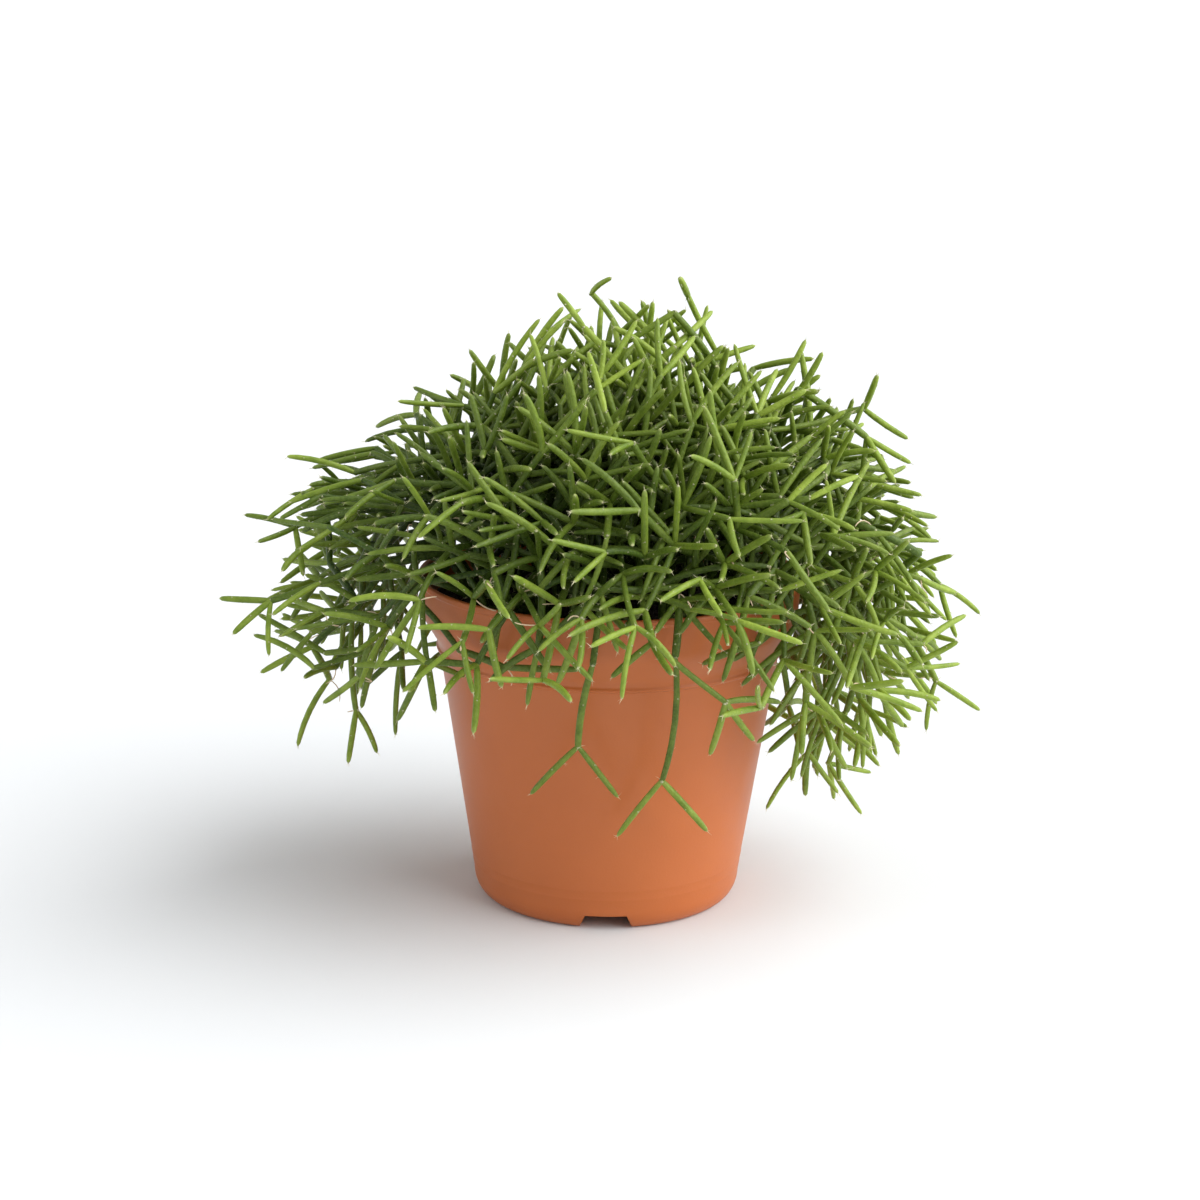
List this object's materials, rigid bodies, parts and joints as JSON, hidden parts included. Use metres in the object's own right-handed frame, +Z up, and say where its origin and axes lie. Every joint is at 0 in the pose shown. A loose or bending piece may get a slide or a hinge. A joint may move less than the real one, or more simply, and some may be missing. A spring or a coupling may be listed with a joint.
{
  "type": "potted rhipsalis cactus",
  "caption": "Bushy mound of slim, forked green cactus stems that arch over the rim of a tapered terracotta-coloured nursery pot and hang down its sides.",
  "frame": {"origin": "centre of the pot's foot, on the surface it stands on, which is also the middle of the whole plant's footprint", "axes": "+Z up along the pot's axis, -Y towards the viewer of the front, +X to that viewer's right, along the plant's widest reach"},
  "size_m": [0.2375, 0.2028, 0.1977],
  "materials": {
    "terracotta_plastic": "satin terracotta-coloured moulded plastic",
    "peat": "rough dark moist peat",
    "green_stem": "satin green skin with pale tips"
  },
  "bodies": {
    "root": {"pot": "terracotta_plastic", "soil": "peat", "stem_01": "green_stem", "stem_02": "green_stem", "stem_03": "green_stem", "stem_04": "green_stem", "stem_05": "green_stem", "stem_06": "green_stem", "stem_07": "green_stem", "stem_08": "green_stem", "stem_09": "green_stem", "stem_10": "green_stem", "stem_11": "green_stem", "stem_12": "green_stem", "stem_13": "green_stem", "stem_14": "green_stem", "stem_15": "green_stem", "stem_16": "green_stem", "stem_17": "green_stem", "stem_18": "green_stem", "stem_19": "green_stem", "stem_20": "green_stem", "stem_21": "green_stem", "stem_22": "green_stem", "stem_23": "green_stem", "stem_24": "green_stem", "stem_25": "green_stem", "stem_26": "green_stem", "stem_27": "green_stem", "stem_28": "green_stem", "stem_29": "green_stem", "stem_30": "green_stem", "stem_31": "green_stem", "stem_32": "green_stem", "stem_33": "green_stem", "stem_34": "green_stem", "stem_35": "green_stem", "stem_36": "green_stem", "stem_37": "green_stem", "stem_38": "green_stem", "stem_39": "green_stem", "stem_40": "green_stem", "stem_41": "green_stem", "stem_42": "green_stem", "stem_43": "green_stem", "stem_44": "green_stem", "stem_45": "green_stem", "stem_46": "green_stem"}
  },
  "joints": []
}
